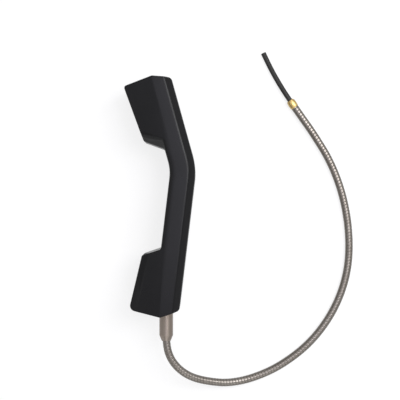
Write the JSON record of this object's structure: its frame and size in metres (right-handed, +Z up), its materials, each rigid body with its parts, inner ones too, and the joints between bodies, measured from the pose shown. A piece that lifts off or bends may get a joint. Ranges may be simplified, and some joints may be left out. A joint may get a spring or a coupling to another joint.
{
  "type": "telephone handset",
  "caption": "Heavy-duty telephone handset with a straight grip, screwed ear and mouth caps, a steel sleeve and an armoured hose that ends in a ferrule and bare cable.",
  "frame": {"origin": "under the middle of the handset, its sleeve included and its cord left out, on the surface that it lies on", "axes": "+X across the handset from its ear and mouth faces to its back, +Y along it towards the earpiece, +Z up from the surface that it lies on"},
  "size_m": [0.2095, 0.3102, 0.05],
  "materials": {
    "moulding": "moulded, satin",
    "cap_plastic": "moulded, satin",
    "black_rubber": "smooth",
    "cable_sheath": "smooth",
    "stainless_steel": "brushed",
    "hose_steel": "ribbed, bright",
    "turned_brass": "turned",
    "tinned_brass": "tinned",
    "black_plastic": "moulded",
    "diaphragm_film": "thin formed film",
    "copper_winding": "lacquered copper wire",
    "soft_iron": "zinc plated",
    "magnet": "nickel plated",
    "board_laminate": "glass fibre board with solder mask",
    "microphone_can": "drawn",
    "felt": "felt",
    "component_black": "moulded",
    "component_body": "sleeved",
    "terminal_green": "moulded",
    "wire_red": "extruded insulation",
    "wire_black": "extruded insulation",
    "wire_white": "extruded insulation",
    "wire_green": "extruded insulation",
    "tie_nylon": "moulded"
  },
  "bodies": {
    "handset": {"handle_body": "moulding", "receiver_front_gasket": "black_rubber", "receiver_case": "black_plastic", "receiver_grille": "black_plastic", "receiver_surround": "diaphragm_film", "receiver_basket": "black_plastic", "receiver_pole_piece": "soft_iron", "receiver_magnet": "magnet", "receiver_yoke": "soft_iron", "receiver_terminal_board": "board_laminate", "receiver_terminals": "tinned_brass", "receiver_rear_gasket": "black_rubber", "hook_magnet": "magnet", "mic_gasket": "black_rubber", "mic_holder": "black_plastic", "mic_boot": "black_rubber", "mic_felt": "felt", "mic_capsule": "microphone_can", "mic_pins": "tinned_brass", "circuit_board": "board_laminate", "board_screws": "stainless_steel", "board_inductor": "component_black", "board_capacitor": "component_body", "board_resistors": "component_black", "board_zener_diodes": "component_black", "board_terminal_block": "terminal_green", "receiver_lead_red": "wire_red", "receiver_lead_black": "wire_black", "line_core_white": "wire_white", "line_core_green": "wire_green", "cable_in_handset": "cable_sheath", "cable_tie": "tie_nylon", "cord_sleeve": "stainless_steel", "sleeve_seal": "black_rubber", "sleeve_washer": "stainless_steel", "sleeve_nut": "stainless_steel", "armoured_hose": "hose_steel", "cable_in_hose": "cable_sheath", "hose_ferrule": "turned_brass", "cable_tail": "cable_sheath"},
    "ear_seal": {"ear_cap_seal": "black_rubber"},
    "ear_cap": {"ear_cap": "cap_plastic", "ear_guard_plate": "stainless_steel", "ear_guard_ring": "stainless_steel"},
    "mouth_seal": {"mouth_cap_seal": "black_rubber"},
    "mouth_cap": {"mouth_cap": "cap_plastic", "mouth_guard_plate": "stainless_steel", "mouth_guard_ring": "stainless_steel"},
    "receiver_cone": {"receiver_dome": "diaphragm_film", "receiver_voice_coil": "copper_winding"}
  },
  "joints": [
    {"name": "ear_cap_turn", "type": "hinge", "parent": "ear_seal", "child": "ear_cap", "pos_m": [-0.02335, 0.08538, 0.025], "axis": [-0.9391, -0.3437, 0], "range_deg": [0, 1080]},
    {"name": "ear_cap_travel", "type": "slide", "parent": "handset", "child": "ear_seal", "axis": [-0.9391, -0.3437, 0], "range_m": [0, 0.006]},
    {"name": "mouth_cap_turn", "type": "hinge", "parent": "mouth_seal", "child": "mouth_cap", "pos_m": [-0.02171, -0.06463, 0.025], "axis": [-0.9728, 0.2317, 0], "range_deg": [0, 1080]},
    {"name": "mouth_cap_travel", "type": "slide", "parent": "handset", "child": "mouth_seal", "axis": [-0.9728, 0.2317, 0], "range_m": [0, 0.006]},
    {"name": "receiver_cone_travel", "type": "slide", "parent": "handset", "child": "receiver_cone", "axis": [-0.9391, -0.3437, 0], "range_m": [-0.0002, 0.0002], "stiffness_N_per_m": 300}
  ],
  "couplings": [
    {"joint": "ear_cap_turn", "follows": "ear_cap_travel", "rad_per_m": 3141.6},
    {"joint": "mouth_cap_turn", "follows": "mouth_cap_travel", "rad_per_m": 3141.6}
  ]
}
